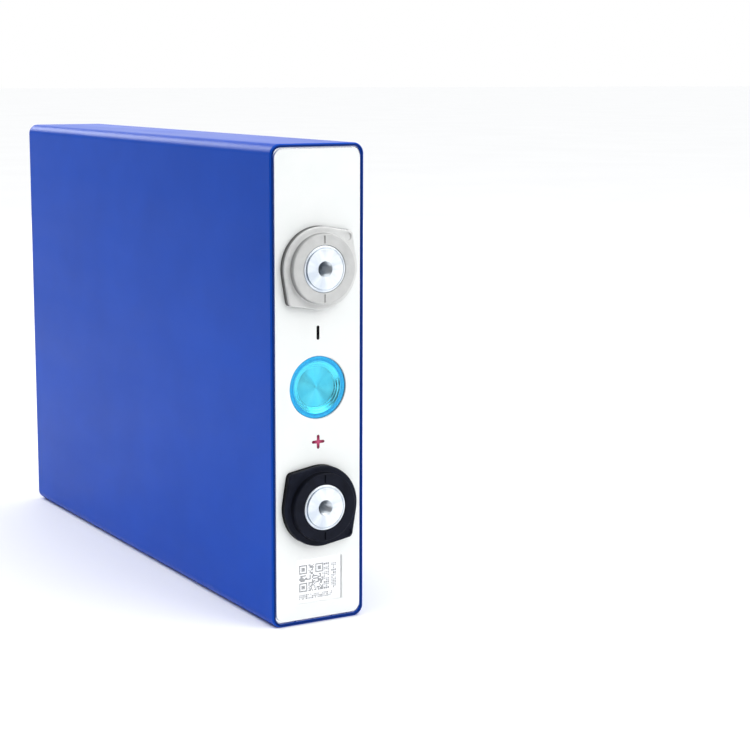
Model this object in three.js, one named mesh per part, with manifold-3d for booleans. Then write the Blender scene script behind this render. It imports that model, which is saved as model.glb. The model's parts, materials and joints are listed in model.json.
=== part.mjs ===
// A prismatic lithium iron phosphate battery cell, lying on one narrow side.
// Millimetres, +Z up. The terminal face looks towards -Y and the thickness runs along X.
//
// Every piece is modelled in the cell's own upright frame, and one group at the end lays
// the cell down. In the upright frame
//   x = across the thickness, y = along the width, z = height above the top label's face,
// so everything inside the case has a negative z.

import * as THREE from "three";
import { mergeVertices } from "three/addons/utils/BufferGeometryUtils.js";
import Module from "manifold-3d";

const wasm = await Module();
wasm.setup();

// ---------------------------------------------------------------- driving dimensions

const CELL_THICKNESS = 29.3;
const CELL_WIDTH = 135.3;
const CELL_HEIGHT = 185.3; // from the base to the label's face, without the terminals
const EDGE_RADIUS = 3.1; // the four long edges, outside the film
const FIT = 0.05; // clearance between pieces that lie on each other

// Outer film, its hem round the lid, and the patch over the folded base
const FILM = 0.25;
const HEM_RISE = 0.15; // how far the hem stands above the label's face
const BASE_PATCH = 0.2;
const BASE_PATCH_MARGIN = 1.6;

// Label
const LABEL_THICKNESS = 0.5;
const LABEL_MARGIN_X = 1.15;
const LABEL_MARGIN_Y = 1.35;
const LABEL_RADIUS = 2.6;
const CODE_WINDOW = { x: 0.43, y: -55.3, width: 14.5, height: 12.8 };

// Case and lid
const CAN_WALL = 0.8;
const CAN_FLOOR = 1.2;
const LID_THICKNESS = 2.0;

// Terminals: the flange's corners lean to the right (1) or to the left (-1)
const TERMINALS = [
  { name: "negative", side: 1, lean: 1, plastic: "greyPlastic", collector: "copper" },
  { name: "positive", side: -1, lean: -1, plastic: "blackPlastic", collector: "aluminium" },
];
const TERMINAL_Y = 33.5; // each terminal's distance from the middle of the face
const FLANGE_RADIUS = 11.5;
const FLANGE_CORNER = 14.1; // centre to the sharp corner that the fillet cuts off
const FLANGE_FILLET = 1.5;
const FLANGE_TOP = 2.0;
const BOSS_RADIUS = 9.7;
const BOSS_CHAMFER = 0.3;
const BOSS_TOP = 4.0;
const NOTCH = { inner: 6.9, outer: 9.4, width: 0.5, depth: 0.35 };
const DIMPLE = { distance: 11.9, radius: 0.7, depth: 0.5 };
const HEAD_SEAT = 0.6; // floor of the insulator's pocket, under the pole's head
const HEAD_RADIUS = 6.5;
const PAD_RADIUS = 5.7; // the raised contact pad on the head
const PAD_CHAMFER = 0.15;
const PAD_TOP = 4.3;
const SHANK_RADIUS = 3.9;

// M5 thread in the pole, drilled blind with a 118 degree point
const THREAD = { minor: 2.1, major: 2.5, pitch: 0.8, turns: 7 };
const THREAD_START = 3.9; // height of the first crest, below the lead-in
const DRILL_RUNOUT = 0.7;
const DRILL_POINT = 1.26;

// Sealing and current path under the lid
const LID_BORE = 5.55;
const SEAL_FLANGE = { radius: 6.9, thickness: 0.5 };
const LOWER_INSULATOR = { thickness: 1.2, width: 24, inner: 12, outer: 31, rim: 0.9 };
const COLLECTOR = { thickness: 1.0, width: 19, inner: 9, outer: 29 };
const SWAGE = { radius: 5.2, height: 0.6 };
const TRAY_WALL = 1.2;

// Vent and filling port
const VENT_WINDOW = 8.95;
const VENT_STEPS = [7.45, 6.75, 6.1]; // radii of the pressed steps, from the outside in
const VENT_STEP_DEPTH = 0.3;
const VENT_DISC = { radius: 5.7, rim: 0.4, web: 0.15, webRadius: 4.9 };
const VENT_SCORE = { radius: 4.2, halfWidth: 0.12, depth: 0.07 };
const VENT_BORE = 5.0;
const VENT_FILM = { radius: 8.85, thickness: 0.15 };
const VENT_GUARD = { thickness: 1.2, width: 22, length: 24, slots: 4, slotLength: 15 };
const FILL_PORT = { y: 15.45, bore: 1.5, seat: 3.5, seatDepth: 0.6, plugLength: 3.2 };

// Core: two flat wound rolls, their foil tabs, and what holds them in the can
const BAG = 0.15;
const BAG_TOP = -15;
const ROLL = { width: 130.6, radius: 6.3, top: -16, gap: 0.4 };
const TAPE = { thickness: 0.1, width: 12, heights: [-50, -98, -146] };
const BASE_SUPPORT = { thickness: 0.8, width: 24, length: 128, slots: 6, slotLength: 14 };
const TAB = {
  thickness: 0.5, width: 17, offset: 17.5, end: 1.2, fold: 7.2, bulge: 12.5, steps: 12,
};
const WELD_GUARD = { thickness: 0.3, width: 14.4, length: 15 };

// ---------------------------------------------------------------- levels worked out

const LID_TOP = -LABEL_THICKNESS - FIT;
const LID_BOTTOM = LID_TOP - LID_THICKNESS;
const INSULATOR_BOTTOM = LID_TOP + FIT;
const VENT_FLOOR = LID_TOP - VENT_STEPS.length * VENT_STEP_DEPTH;

const BASE = -CELL_HEIGHT;
const WRAP_BOTTOM = BASE + BASE_PATCH + FIT;
const CAN_BOTTOM = WRAP_BOTTOM + FILM + FIT;
const CAN_INSET = FILM + FIT;
const CAN_THICKNESS = CELL_THICKNESS - 2 * CAN_INSET;
const CAN_WIDTH = CELL_WIDTH - 2 * CAN_INSET;
const CAN_RADIUS = EDGE_RADIUS - CAN_INSET;
const BORE_THICKNESS = CAN_THICKNESS - 2 * CAN_WALL;
const BORE_WIDTH = CAN_WIDTH - 2 * CAN_WALL;
const BORE_RADIUS = CAN_RADIUS - CAN_WALL;

const LOWER_TOP = LID_BOTTOM - FIT;
const LOWER_BOTTOM = LOWER_TOP - LOWER_INSULATOR.thickness;
const COLLECTOR_TOP = LOWER_BOTTOM - FIT;
const COLLECTOR_BOTTOM = COLLECTOR_TOP - COLLECTOR.thickness;
const TAB_TOP = COLLECTOR_BOTTOM - FIT;
const GUARD_TOP = TAB_TOP - TAB.thickness - FIT;

const SUPPORT_BOTTOM = CAN_BOTTOM + CAN_FLOOR + FIT;
const BAG_BOTTOM = SUPPORT_BOTTOM + BASE_SUPPORT.thickness + FIT;
const ROLL_BOTTOM = BAG_BOTTOM + BAG + FIT;
const BAG_THICKNESS = BORE_THICKNESS - 2 * FIT;
const BAG_WIDTH = BORE_WIDTH - 2 * FIT;
const PAIR_THICKNESS = BAG_THICKNESS - 2 * (BAG + TAPE.thickness + 2 * FIT);
const ROLL_THICKNESS = (PAIR_THICKNESS - ROLL.gap) / 2;
const ROLL_X = (ROLL_THICKNESS + ROLL.gap) / 2;

const TURN = 40; // facets of a full turn
const SMALL_TURN = 28; // facets of a small turned piece
const CORNER = 4; // half the facets of each arc in an outline
const PAST = 1; // how far a cutting tool runs past the face that it cuts

// ---------------------------------------------------------------- shape helpers

function roundedRect(width, height, radius) {
  const shape = new THREE.Shape();
  const x = width / 2 - radius;
  const y = height / 2 - radius;
  shape.absarc(x, y, radius, 0, Math.PI / 2);
  shape.absarc(-x, y, radius, Math.PI / 2, Math.PI);
  shape.absarc(-x, -y, radius, Math.PI, 1.5 * Math.PI);
  shape.absarc(x, -y, radius, 1.5 * Math.PI, 2 * Math.PI);
  return shape;
}

// A piece that fills an outline from one height to another.
function slab(shape, low, high, curveSegments = CORNER) {
  const options = { depth: high - low, bevelEnabled: false, curveSegments };
  return new THREE.ExtrudeGeometry(shape, options).translate(0, 0, low);
}

function box(width, length, low, high, x = 0, y = 0) {
  const geometry = new THREE.BoxGeometry(width, length, high - low);
  return geometry.translate(x, y, (low + high) / 2);
}

// A piece turned about z. Its profile lists [radius, height] with the solid on the left.
function turned(profile, segments = TURN) {
  const points = profile.map(([radius, height]) => new THREE.Vector2(radius, height));
  return new THREE.LatheGeometry(points, segments).rotateX(Math.PI / 2);
}

function disc(radius, low, high, y = 0, segments = TURN) {
  const profile = [[0, low], [radius, low], [radius, high], [0, high]];
  return turned(profile, segments).translate(0, y, 0);
}

// Outline of a strip of even thickness whose middle runs through the points.
function ribbon(middle, thickness) {
  const half = thickness / 2;
  const sides = [1, -1].map((sign) => middle.map((point, i) => {
    const before = middle[Math.max(i - 1, 0)];
    const after = middle[Math.min(i + 1, middle.length - 1)];
    const along = after.clone().sub(before).normalize();
    return new THREE.Vector2(-along.y, along.x).multiplyScalar(sign * half).add(point);
  }));
  return new THREE.Shape([...sides[0], ...sides[1].reverse()]);
}

// ---------------------------------------------------------------- cutting and joining

function toManifold(geometry) {
  const bare = geometry.clone();
  bare.deleteAttribute("normal");
  bare.deleteAttribute("uv");
  const merged = mergeVertices(bare);
  const index = merged.index.array;
  const triangles = [];
  for (let i = 0; i < index.length; i += 3) {
    const [a, b, c] = index.slice(i, i + 3);
    if (a !== b && b !== c && c !== a) {
      triangles.push(a, b, c);
    }
  }
  return new wasm.Manifold(new wasm.Mesh({
    numProp: 3,
    vertProperties: new Float32Array(merged.attributes.position.array),
    triVerts: new Uint32Array(triangles),
  }));
}

function toGeometry(manifold) {
  const mesh = manifold.getMesh();
  const geometry = new THREE.BufferGeometry();
  geometry.setAttribute("position", new THREE.BufferAttribute(mesh.vertProperties, 3));
  geometry.setIndex(new THREE.BufferAttribute(mesh.triVerts, 1));
  return geometry;
}

// Joins every geometry of the first list, then takes away every one of the second.
function solid(joined, removed) {
  let body = toManifold(joined[0]);
  for (const piece of joined.slice(1)) {
    body = body.add(toManifold(piece));
  }
  for (const tool of removed) {
    body = body.subtract(toManifold(tool));
  }
  return toGeometry(body);
}

// ---------------------------------------------------------------- outer skin

// Blue film: four walls, the flaps folded across the base, and the hem turned in over the
// edge of the lid. It is open where the label lies.
function insulatingWrap() {
  const body = roundedRect(CELL_THICKNESS, CELL_WIDTH, EDGE_RADIUS);
  const inside = roundedRect(
    CELL_THICKNESS - 2 * FILM, CELL_WIDTH - 2 * FILM, EDGE_RADIUS - FILM);
  const mouth = roundedRect(
    CELL_THICKNESS - 2 * (LABEL_MARGIN_X - FIT),
    CELL_WIDTH - 2 * (LABEL_MARGIN_Y - FIT), LABEL_RADIUS + FIT);
  const hemBottom = LID_TOP + FIT;
  return solid([slab(body, WRAP_BOTTOM, HEM_RISE)], [
    slab(inside, WRAP_BOTTOM + FILM, hemBottom),
    slab(mouth, hemBottom - PAST, HEM_RISE + PAST),
  ]);
}

function basePatch() {
  const shape = roundedRect(
    CELL_THICKNESS - 2 * BASE_PATCH_MARGIN, CELL_WIDTH - 2 * BASE_PATCH_MARGIN, EDGE_RADIUS);
  return slab(shape, BASE, BASE + BASE_PATCH);
}

// A circle drawn out into two opposite corners, each cut off by a fillet.
function flangeOutline(lean, offset = 0) {
  const tangent = Math.acos(FLANGE_RADIUS / FLANGE_CORNER);
  const centre = FLANGE_CORNER - FLANGE_FILLET / Math.cos(tangent);
  const shape = new THREE.Shape();
  for (const turn of [0, Math.PI]) {
    const corner = Math.PI / 2 - lean * Math.PI / 4 + turn;
    const x = centre * Math.cos(corner);
    const y = centre * Math.sin(corner);
    shape.absarc(x, y, FLANGE_FILLET + offset, corner - tangent, corner + tangent);
    shape.absarc(
      0, 0, FLANGE_RADIUS + offset, corner + tangent, corner + Math.PI - tangent);
  }
  return shape;
}

// White label, cut out for both insulators, the vent and the marked code on the lid.
function topLabel() {
  const sheet = roundedRect(
    CELL_THICKNESS - 2 * LABEL_MARGIN_X, CELL_WIDTH - 2 * LABEL_MARGIN_Y, LABEL_RADIUS);
  const low = -LABEL_THICKNESS - PAST;
  const flanges = TERMINALS.map(({ side, lean }) =>
    slab(flangeOutline(lean, 2 * FIT), low, PAST, 2 * CORNER)
      .translate(0, side * TERMINAL_Y, 0));
  const { x, y, width, height } = CODE_WINDOW;
  return solid([slab(sheet, -LABEL_THICKNESS, 0)], [
    ...flanges,
    disc(VENT_WINDOW, low, PAST),
    box(width, height, low, PAST, x, y),
  ]);
}

// ---------------------------------------------------------------- case and lid

function caseCan() {
  const outside = roundedRect(CAN_THICKNESS, CAN_WIDTH, CAN_RADIUS);
  const inside = roundedRect(BORE_THICKNESS, BORE_WIDTH, BORE_RADIUS);
  return solid(
    [slab(outside, CAN_BOTTOM, LID_TOP)],
    [slab(inside, CAN_BOTTOM + CAN_FLOOR, LID_TOP + PAST)]);
}

// The lid has a bore for each pole, the vent's pressed steps and the filling port.
function coverPlate() {
  const plate = roundedRect(
    BORE_THICKNESS - 2 * FIT, BORE_WIDTH - 2 * FIT, BORE_RADIUS - FIT);
  const [low, high] = [LID_BOTTOM - PAST, LID_TOP + PAST];
  const poleBores = TERMINALS.map(({ side }) =>
    disc(LID_BORE, low, high, side * TERMINAL_Y));
  const steps = VENT_STEPS.map((radius, i) =>
    disc(radius, LID_TOP - (i + 1) * VENT_STEP_DEPTH, high));
  const { y, bore, seat, seatDepth } = FILL_PORT;
  return solid([slab(plate, LID_BOTTOM, LID_TOP)], [
    ...poleBores,
    ...steps,
    disc(VENT_DISC.radius + FIT, VENT_FLOOR - VENT_DISC.rim - FIT, high),
    disc(VENT_BORE, low, high),
    disc(seat + FIT, LID_TOP - seatDepth, high, y, SMALL_TURN),
    disc(bore + FIT, low, high, y, SMALL_TURN),
  ]);
}

// Burst disc: a thick rim on the lid's ledge, a thin web, and the scored ring that tears.
function ventDisc() {
  const { radius, rim, web, webRadius } = VENT_DISC;
  const score = VENT_SCORE;
  return turned([
    [0, VENT_FLOOR - web],
    [webRadius, VENT_FLOOR - web],
    [webRadius, VENT_FLOOR - rim],
    [radius, VENT_FLOOR - rim],
    [radius, VENT_FLOOR],
    [score.radius + score.halfWidth, VENT_FLOOR],
    [score.radius, VENT_FLOOR - score.depth],
    [score.radius - score.halfWidth, VENT_FLOOR],
    [0, VENT_FLOOR],
  ]);
}

// Plastic grid that keeps the core away from the vent's bore.
function ventGuard() {
  const { thickness, width, length, slots, slotLength } = VENT_GUARD;
  const pitch = length / (slots + 1);
  const low = LOWER_TOP - thickness;
  const tools = [];
  for (let i = 1; i <= slots; i++) {
    const y = i * pitch - length / 2;
    tools.push(box(slotLength, pitch / 2, low - PAST, LOWER_TOP + PAST, 0, y));
  }
  return solid([box(width, length, low, LOWER_TOP)], tools);
}

function fillPortCap() {
  const { y, seat, seatDepth } = FILL_PORT;
  return disc(seat, LID_TOP - seatDepth + FIT, LID_TOP, y, SMALL_TURN);
}

function fillPortPlug() {
  const { y, bore, seatDepth, plugLength } = FILL_PORT;
  const high = LID_TOP - seatDepth;
  return disc(bore, high - plugLength, high, y, SMALL_TURN);
}

// ---------------------------------------------------------------- terminals

// Flange and raised boss, with a pocket for the pole's head and a bore for its shank.
function upperInsulator(lean) {
  const boss = turned([
    [0, INSULATOR_BOTTOM],
    [BOSS_RADIUS, INSULATOR_BOTTOM],
    [BOSS_RADIUS, BOSS_TOP - BOSS_CHAMFER],
    [BOSS_RADIUS - BOSS_CHAMFER, BOSS_TOP],
    [0, BOSS_TOP],
  ]);
  const notchY = (NOTCH.inner + NOTCH.outer) / 2;
  const notchLow = BOSS_TOP - NOTCH.depth;
  const notches = [notchY, -notchY].map((y) =>
    box(NOTCH.width, NOTCH.outer - NOTCH.inner, notchLow, BOSS_TOP + PAST, 0, y));
  const dimple = disc(DIMPLE.radius, FLANGE_TOP - DIMPLE.depth, FLANGE_TOP + PAST, 0, 16)
    .translate(DIMPLE.distance * Math.SQRT1_2, lean * DIMPLE.distance * Math.SQRT1_2, 0);
  return solid(
    [slab(flangeOutline(lean), INSULATOR_BOTTOM, FLANGE_TOP, 2 * CORNER), boss],
    [
      disc(HEAD_RADIUS + FIT, HEAD_SEAT, BOSS_TOP + PAST),
      disc(SHANK_RADIUS + FIT, INSULATOR_BOTTOM - PAST, BOSS_TOP),
      ...notches,
      dimple,
    ]);
}

// Crests and roots of the thread, from the mouth inwards.
function threadProfile() {
  const points = [[THREAD.minor, THREAD_START]];
  for (let turn = 0; turn < THREAD.turns; turn++) {
    const crest = THREAD_START - turn * THREAD.pitch;
    points.push([THREAD.major, crest - THREAD.pitch / 2]);
    points.push([THREAD.minor, crest - THREAD.pitch]);
  }
  return points;
}

// One turned post: a swaged foot under the collector, a shank through the lid, a round
// head with a raised contact pad, and a blind threaded hole down its middle.
function pole() {
  const foot = COLLECTOR_BOTTOM - FIT;
  const drillEnd = THREAD_START - THREAD.turns * THREAD.pitch - DRILL_RUNOUT;
  const leadIn = PAD_TOP - THREAD_START;
  return turned([
    [0, foot - SWAGE.height],
    [SWAGE.radius, foot - SWAGE.height],
    [SWAGE.radius, foot],
    [SHANK_RADIUS, foot],
    [SHANK_RADIUS, HEAD_SEAT + FIT],
    [HEAD_RADIUS, HEAD_SEAT + FIT],
    [HEAD_RADIUS, BOSS_TOP - PAD_CHAMFER],
    [HEAD_RADIUS - PAD_CHAMFER, BOSS_TOP],
    [PAD_RADIUS, BOSS_TOP],
    [PAD_RADIUS, PAD_TOP - PAD_CHAMFER],
    [PAD_RADIUS - PAD_CHAMFER, PAD_TOP],
    [THREAD.minor + leadIn, PAD_TOP],
    ...threadProfile(),
    [THREAD.minor, drillEnd],
    [0, drillEnd - DRILL_POINT],
  ], SMALL_TURN);
}

// Rubber sleeve in the lid's bore, with a flange squeezed under the lid.
function sealRing() {
  const inner = SHANK_RADIUS + FIT;
  const flangeTop = LOWER_TOP;
  const flangeBottom = flangeTop - SEAL_FLANGE.thickness;
  return turned([
    [inner, flangeBottom],
    [SEAL_FLANGE.radius, flangeBottom],
    [SEAL_FLANGE.radius, flangeTop],
    [LID_BORE - FIT, flangeTop],
    [LID_BORE - FIT, LID_TOP],
    [inner, LID_TOP],
    [inner, flangeBottom],
  ], SMALL_TURN);
}

// A flat plate that reaches from inside the pole to outside it, along the width.
function reachingPlate({ width, inner, outer }, side, low, high, trim = 0) {
  const y = side * (outer - inner) / 2;
  return box(width - 2 * trim, inner + outer - 2 * trim, low, high, 0, y);
}

// Plastic tray under the lid: the seal's flange sits in its top, the collector below it.
function lowerInsulator(side) {
  const rimBottom = LOWER_BOTTOM - LOWER_INSULATOR.rim;
  return solid([reachingPlate(LOWER_INSULATOR, side, rimBottom, LOWER_TOP)], [
    reachingPlate(LOWER_INSULATOR, side, rimBottom - PAST, LOWER_BOTTOM, TRAY_WALL),
    disc(SEAL_FLANGE.radius + FIT, LOWER_TOP - SEAL_FLANGE.thickness - FIT,
      LOWER_TOP + PAST, 0, SMALL_TURN),
    disc(SHANK_RADIUS + FIT, LOWER_BOTTOM - PAST, LOWER_TOP, 0, SMALL_TURN),
  ]);
}

function collector(side) {
  return solid([reachingPlate(COLLECTOR, side, COLLECTOR_BOTTOM, COLLECTOR_TOP)], [
    disc(SHANK_RADIUS + FIT, COLLECTOR_BOTTOM - PAST, COLLECTOR_TOP + PAST, 0, SMALL_TURN),
  ]);
}

// ---------------------------------------------------------------- core

function coreRoll() {
  return slab(roundedRect(ROLL_THICKNESS, ROLL.width, ROLL.radius), ROLL_BOTTOM, ROLL.top);
}

// A stack of foils that rises from a roll, folds over and lies flat under the collector.
function foilTab(side, hand) {
  const flat = TAB_TOP - TAB.thickness / 2;
  const start = ROLL.top + FIT;
  const fold = new THREE.CubicBezierCurve(
    new THREE.Vector2(hand * ROLL_X, start),
    new THREE.Vector2(hand * ROLL_X, (start + flat) / 2),
    new THREE.Vector2(hand * TAB.bulge, flat),
    new THREE.Vector2(hand * TAB.fold, flat));
  const middle = [...fold.getPoints(TAB.steps), new THREE.Vector2(hand * TAB.end, flat)];
  const strip = new THREE.ExtrudeGeometry(
    ribbon(middle, TAB.thickness), { depth: TAB.width, bevelEnabled: false });
  const y = side * TAB.offset + TAB.width / 2;
  return strip.rotateX(Math.PI / 2).translate(0, y, 0);
}

function weldGuard(side) {
  const { thickness, width, length } = WELD_GUARD;
  return box(width, length, GUARD_TOP - thickness, GUARD_TOP, 0, side * TAB.offset);
}

// A band of tape round both rolls.
function coreTape(height) {
  const inner = roundedRect(
    PAIR_THICKNESS + 2 * FIT, ROLL.width + 2 * FIT, ROLL.radius + FIT);
  const outer = roundedRect(
    PAIR_THICKNESS + 2 * (FIT + TAPE.thickness),
    ROLL.width + 2 * (FIT + TAPE.thickness), ROLL.radius + FIT + TAPE.thickness);
  outer.holes.push(inner);
  return slab(outer, height - TAPE.width / 2, height + TAPE.width / 2);
}

// Plastic film pocket, open towards the lid.
function coreBag() {
  const outside = roundedRect(BAG_THICKNESS, BAG_WIDTH, BORE_RADIUS);
  const inside = roundedRect(
    BAG_THICKNESS - 2 * BAG, BAG_WIDTH - 2 * BAG, BORE_RADIUS - BAG);
  return solid(
    [slab(outside, BAG_BOTTOM, BAG_TOP)],
    [slab(inside, BAG_BOTTOM + BAG, BAG_TOP + PAST)]);
}

// Slotted plate between the bag and the can's floor.
function baseSupport() {
  const { thickness, width, length, slots, slotLength } = BASE_SUPPORT;
  const high = SUPPORT_BOTTOM + thickness;
  const pitch = length / slots;
  const tools = [];
  for (let i = 0; i < slots; i++) {
    const y = (i + 0.5) * pitch - length / 2;
    tools.push(box(slotLength, pitch / 2, SUPPORT_BOTTOM - PAST, high + PAST, 0, y));
  }
  return solid([box(width, length, SUPPORT_BOTTOM, high)], tools);
}

// ---------------------------------------------------------------- assembly

const FINISHES = {
  blueFilm: { color: 0x2b49a8, roughness: 0.35, metalness: 0 },
  whiteLabel: { color: 0xfafcfc, roughness: 0.45, metalness: 0 },
  greyPlastic: { color: 0xd3d4d4, roughness: 0.6, metalness: 0 },
  blackPlastic: { color: 0x161925, roughness: 0.55, metalness: 0 },
  ventFilm: { color: 0x38b4ec, roughness: 0.15, metalness: 0 },
  aluminium: { color: 0xc8ccd2, roughness: 0.35, metalness: 1 },
  platedPole: { color: 0xe9ebee, roughness: 0.22, metalness: 1 },
  copper: { color: 0xc97a52, roughness: 0.35, metalness: 1 },
  rubber: { color: 0x2a2b30, roughness: 0.8, metalness: 0 },
  electrode: { color: 0x2c2e33, roughness: 0.7, metalness: 0 },
  innerPlastic: { color: 0xe8ebe6, roughness: 0.6, metalness: 0 },
  tape: { color: 0x3f9a63, roughness: 0.5, metalness: 0 },
};

const cell = new THREE.Group();

function addPiece(name, geometry, finish, x = 0, y = 0) {
  const mesh = new THREE.Mesh(geometry, new THREE.MeshStandardMaterial(FINISHES[finish]));
  mesh.name = name;
  mesh.position.set(x, y, 0);
  cell.add(mesh);
}

addPiece("insulating_wrap", insulatingWrap(), "blueFilm");
addPiece("base_patch", basePatch(), "blueFilm");
addPiece("top_label", topLabel(), "whiteLabel");
addPiece("case_can", caseCan(), "aluminium");
addPiece("cover_plate", coverPlate(), "aluminium");

addPiece("vent_disc", ventDisc(), "aluminium");
const ventFilmTop = LID_TOP + FIT + VENT_FILM.thickness;
addPiece("vent_film", disc(VENT_FILM.radius, LID_TOP + FIT, ventFilmTop), "ventFilm");
addPiece("vent_guard", ventGuard(), "innerPlastic");
addPiece("fill_port_cap", fillPortCap(), "aluminium");
addPiece("fill_port_plug", fillPortPlug(), "rubber");

for (const { name, side, lean, plastic, collector: metal } of TERMINALS) {
  const y = side * TERMINAL_Y;
  addPiece(`${name}_upper_insulator`, upperInsulator(lean), plastic, 0, y);
  addPiece(`${name}_pole`, pole(), "platedPole", 0, y);
  addPiece(`${name}_seal_ring`, sealRing(), "rubber", 0, y);
  addPiece(`${name}_lower_insulator`, lowerInsulator(side), "innerPlastic", 0, y);
  addPiece(`${name}_collector`, collector(side), metal, 0, y);
  addPiece(`${name}_tab_left`, foilTab(side, -1), metal, 0, y);
  addPiece(`${name}_tab_right`, foilTab(side, 1), metal, 0, y);
  addPiece(`${name}_weld_guard`, weldGuard(side), metal, 0, y);
}

addPiece("core_roll_left", coreRoll(), "electrode", -ROLL_X);
addPiece("core_roll_right", coreRoll(), "electrode", ROLL_X);
TAPE.heights.forEach((height, i) => {
  addPiece(`core_tape_${i + 1}`, coreTape(height), "tape");
});
addPiece("core_bag", coreBag(), "innerPlastic");
addPiece("base_support", baseSupport(), "innerPlastic");

// Lay the cell on its narrow side, centred over the origin and touching the ground.
const halfLength = (CELL_HEIGHT + PAD_TOP) / 2;
cell.rotation.x = Math.PI / 2;
cell.position.set(0, PAD_TOP - halfLength, CELL_WIDTH / 2);

const batteryCell = new THREE.Group();
batteryCell.add(cell);

export default batteryCell;
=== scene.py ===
import json
import math
import random

import bmesh
import bpy
from mathutils import Matrix, Vector
from mathutils.geometry import tessellate_polygon


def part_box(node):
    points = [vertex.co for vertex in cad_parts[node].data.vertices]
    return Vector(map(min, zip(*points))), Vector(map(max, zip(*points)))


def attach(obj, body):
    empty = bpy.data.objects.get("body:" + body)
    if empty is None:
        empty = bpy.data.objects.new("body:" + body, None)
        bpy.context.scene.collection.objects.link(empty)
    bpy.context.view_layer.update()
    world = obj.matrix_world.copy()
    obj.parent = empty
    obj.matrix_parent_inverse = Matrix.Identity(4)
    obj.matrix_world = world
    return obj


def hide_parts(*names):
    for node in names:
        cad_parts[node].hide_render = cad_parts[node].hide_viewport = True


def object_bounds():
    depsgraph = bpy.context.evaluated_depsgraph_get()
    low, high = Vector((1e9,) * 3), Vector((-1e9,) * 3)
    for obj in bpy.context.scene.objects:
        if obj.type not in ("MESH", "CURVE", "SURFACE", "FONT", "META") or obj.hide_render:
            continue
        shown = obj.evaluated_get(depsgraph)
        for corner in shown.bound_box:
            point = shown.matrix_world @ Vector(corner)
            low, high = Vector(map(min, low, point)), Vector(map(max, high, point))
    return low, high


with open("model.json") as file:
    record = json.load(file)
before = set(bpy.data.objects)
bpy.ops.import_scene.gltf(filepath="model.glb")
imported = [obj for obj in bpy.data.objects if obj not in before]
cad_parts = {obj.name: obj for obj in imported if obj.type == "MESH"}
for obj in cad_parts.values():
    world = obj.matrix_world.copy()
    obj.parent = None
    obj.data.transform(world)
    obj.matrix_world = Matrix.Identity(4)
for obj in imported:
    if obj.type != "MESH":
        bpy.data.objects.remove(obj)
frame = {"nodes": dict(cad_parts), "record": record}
cad_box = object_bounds()

# The shapes below are drawn in millimetres in the face's own frame: x to the right, y up
# and z out of the terminal face, from the label's outer surface. add_piece() lays them in
# the row frame, in metres.
MM = 0.001
BODY = "root"
SHARP_ANGLE = math.radians(38)

# ---------------------------------------------------------------- places, from the frame


def centre_of(node):
    """The middle of a node's box, in the row frame."""
    low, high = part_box(node)
    return (low + high) / 2


def size_of(node):
    """Width, height and depth of a node as seen from the front, in millimetres."""
    low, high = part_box(node)
    return (high.x - low.x) / MM, (high.z - low.z) / MM, (high.y - low.y) / MM


FACE_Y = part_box("top_label")[0].y


def place_at(centre):
    """The matrix from the face's frame, its origin in front of centre, to the row frame."""
    turn = Matrix(((1, 0, 0), (0, 0, -1), (0, 1, 0))).to_4x4()
    return Matrix.Translation((centre.x, FACE_Y, centre.z)) @ turn


def height_of(y):
    """A row frame y as millimetres in front of the label's outer surface."""
    return (FACE_Y - y) / MM


MIDDLE = place_at(centre_of("insulating_wrap"))
MIDDLE_Z = centre_of("insulating_wrap").z

# ---------------------------------------------------------------- outlines

# An outline is a list of arcs (x, y, radius, start, end, steps), joined by straight lines.
# Making every radius larger by the same amount moves the whole outline outwards.
SAME_POINT = 1e-6


def circle(radius, steps=128):
    return [(0.0, 0.0, radius, 0.0, 2 * math.pi, steps)]


def rounded_rect(width, height, radius, steps):
    """A rectangle about the origin with round corners."""
    dx, dy = width / 2 - radius, height / 2 - radius
    corners = ((dx, dy), (-dx, dy), (-dx, -dy), (dx, -dy))
    quarter = math.pi / 2
    return [
        (x, y, radius, i * quarter, (i + 1) * quarter, steps)
        for i, (x, y) in enumerate(corners)
    ]


def moved(outline, x, y):
    """The same outline somewhere else on the face."""
    return [(cx + x, cy + y, *rest) for cx, cy, *rest in outline]


def trace(outline, offset):
    """The points of an outline whose radii are larger by the offset."""
    points = []
    for x, y, radius, start, end, steps in outline:
        reach = radius + offset
        for i in range(steps + 1):
            angle = start + (end - start) * i / steps
            points.append(Vector((x + reach * math.cos(angle), y + reach * math.sin(angle))))
    if (points[0] - points[-1]).length < SAME_POINT:
        points.pop()
    return points


def rounding(radius, offset, height, start, end, steps=4):
    """Part of a circle as a list of (offset, height); the angles are in degrees."""
    points = []
    for i in range(steps + 1):
        angle = math.radians(start + (end - start) * i / steps)
        points.append((offset + radius * math.cos(angle), height + radius * math.sin(angle)))
    return points


# ---------------------------------------------------------------- mesh building


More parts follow.
